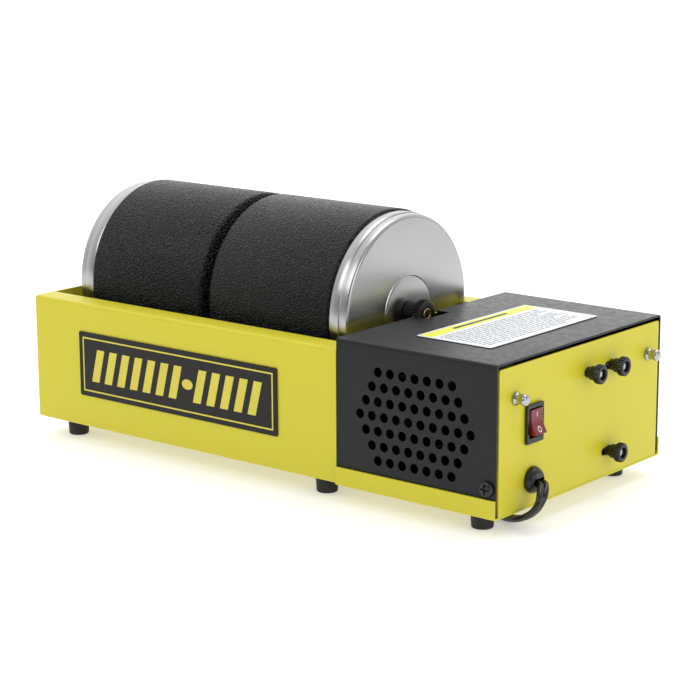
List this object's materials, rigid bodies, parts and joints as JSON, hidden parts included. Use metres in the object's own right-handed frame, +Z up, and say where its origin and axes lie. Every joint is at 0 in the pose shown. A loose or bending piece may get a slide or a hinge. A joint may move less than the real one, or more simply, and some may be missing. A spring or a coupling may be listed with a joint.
{
  "type": "rotary rock tumbler",
  "caption": "Bench machine that tumbles stones in barrels lying on motor-driven rollers in a folded metal tray.",
  "frame": {"origin": "middle of the machine's footprint, at the level that its feet stand on, cord and plug left out", "axes": "+X along the barrel axis towards the switch panel, +Y to the back, away from the vented side with the switch, +Z up"},
  "size_m": [0.3542, 0.2751, 0.1484],
  "materials": {
    "yellow_paint": "semi-gloss powder coat",
    "dark_paint": "satin powder coat",
    "nameplate": "printed plate",
    "label": "printed film",
    "grained_rubber": "leather-grained moulding",
    "black_rubber": "matt",
    "black_plastic": "knurled or plain moulding",
    "fan_plastic": "moulded",
    "aluminium": "brushed",
    "steel": "drawn",
    "laminations": "stacked sheets",
    "chrome": "polished",
    "brass": "turned",
    "copper_winding": "enamelled wire",
    "red_rocker": "moulded",
    "nylon": "moulded",
    "cord_rubber": "flat two-core cord"
  },
  "bodies": {
    "chassis": {"tray": "yellow_paint", "divider_wall": "yellow_paint", "motor_base": "yellow_paint", "motor_cover": "dark_paint", "front_nameplate": "nameplate", "top_label": "label", "cover_screw_front": "black_plastic", "cover_screw_back": "black_plastic", "cord_post_front": "chrome", "cord_post_back": "chrome", "foot_front_left": "black_rubber", "foot_back_left": "black_rubber", "foot_front_middle": "black_rubber", "foot_back_middle": "black_rubber", "foot_front_right": "black_rubber", "foot_back_right": "black_rubber", "switch_body": "black_plastic", "cord_bush": "black_plastic", "drive_bearing_left": "nylon", "drive_bearing_right": "nylon", "idler_bearing_left": "nylon", "idler_bearing_right": "nylon", "drive_belt": "black_rubber", "power_cord": "cord_rubber", "cord_coil": "cord_rubber", "cord_tail": "cord_rubber", "cord_tie": "black_plastic", "mains_plug": "black_plastic"},
    "motor": {"stator_core": "laminations", "stator_coil": "copper_winding", "motor_bracket_inner": "aluminium", "motor_bracket_outer": "aluminium", "motor_stud_1": "steel", "motor_stud_2": "steel", "motor_stud_3": "steel"},
    "rotor": {"motor_rotor": "steel", "cooling_fan": "fan_plastic", "motor_pulley": "aluminium"},
    "drive_roller": {"drive_shaft": "steel", "drive_roller_sleeve_1": "black_rubber", "drive_roller_sleeve_2": "black_rubber", "drive_pulley": "black_plastic"},
    "idler_roller": {"idler_shaft": "steel", "idler_roller_sleeve_1": "black_rubber", "idler_roller_sleeve_2": "black_rubber"},
    "barrel_1": {"barrel_1_body": "grained_rubber", "barrel_1_inner_lid": "steel", "barrel_1_outer_lid": "aluminium"},
    "barrel_2": {"barrel_2_body": "grained_rubber", "barrel_2_inner_lid": "steel", "barrel_2_outer_lid": "aluminium"},
    "lid_knob_1": {"barrel_1_knob": "black_plastic", "barrel_1_knob_insert": "brass"},
    "lid_knob_2": {"barrel_2_knob": "black_plastic", "barrel_2_knob_insert": "brass"},
    "nut_1": {"thumb_nut_1": "black_plastic"},
    "nut_2": {"thumb_nut_2": "black_plastic"},
    "nut_3": {"thumb_nut_3": "black_plastic"},
    "rocker": {"switch_rocker": "red_rocker"}
  },
  "joints": [
    {"name": "barrel_1_spin", "type": "hinge", "parent": "chassis", "child": "barrel_1", "pos_m": [-0.00545, 0, 0.0912], "axis": [1, 0, 0], "continuous": true},
    {"name": "barrel_2_spin", "type": "hinge", "parent": "chassis", "child": "barrel_2", "pos_m": [-0.10545, 0, 0.0912], "axis": [1, 0, 0], "continuous": true},
    {"name": "drive_roller_spin", "type": "hinge", "parent": "chassis", "child": "drive_roller", "pos_m": [-0.05545, -0.038, 0.03853], "axis": [1, 0, 0], "continuous": true},
    {"name": "idler_roller_spin", "type": "hinge", "parent": "chassis", "child": "idler_roller", "pos_m": [-0.05545, 0.038, 0.03853], "axis": [1, 0, 0], "continuous": true},
    {"name": "motor_tension", "type": "slide", "parent": "chassis", "child": "motor", "axis": [0, 1, 0], "range_m": [-0.001, 0.004], "deforming": ["drive_belt"]},
    {"name": "rotor_spin", "type": "hinge", "parent": "motor", "child": "rotor", "pos_m": [0.1158, 0.0164, 0.05], "axis": [1, 0, 0], "continuous": true},
    {"name": "lid_knob_1_turn", "type": "hinge", "parent": "barrel_1", "child": "lid_knob_1", "pos_m": [0.05455, 0, 0.0912], "axis": [1, 0, 0], "continuous": true},
    {"name": "lid_knob_2_turn", "type": "hinge", "parent": "barrel_2", "child": "lid_knob_2", "pos_m": [-0.16545, 0, 0.0912], "axis": [1, 0, 0], "continuous": true},
    {"name": "nut_1_turn", "type": "hinge", "parent": "motor", "child": "nut_1", "pos_m": [0.1708, 0.0048, 0.0725], "axis": [1, 0, 0], "continuous": true},
    {"name": "nut_2_turn", "type": "hinge", "parent": "motor", "child": "nut_2", "pos_m": [0.1708, 0.0281, 0.0725], "axis": [1, 0, 0], "continuous": true},
    {"name": "nut_3_turn", "type": "hinge", "parent": "motor", "child": "nut_3", "pos_m": [0.1708, 0.0271, 0.0245], "axis": [1, 0, 0], "continuous": true},
    {"name": "switch_toggle", "type": "hinge", "parent": "chassis", "child": "rocker", "pos_m": [0.1664, -0.0467, 0.0559], "axis": [0, 1, 0], "range_deg": [0, 26]}
  ],
  "couplings": [
    {"joint": "barrel_2_spin", "follows": "barrel_1_spin", "ratio": 1},
    {"joint": "drive_roller_spin", "follows": "barrel_1_spin", "ratio": -7.62},
    {"joint": "idler_roller_spin", "follows": "barrel_1_spin", "ratio": -7.62},
    {"joint": "rotor_spin", "follows": "barrel_1_spin", "ratio": -31.75}
  ]
}
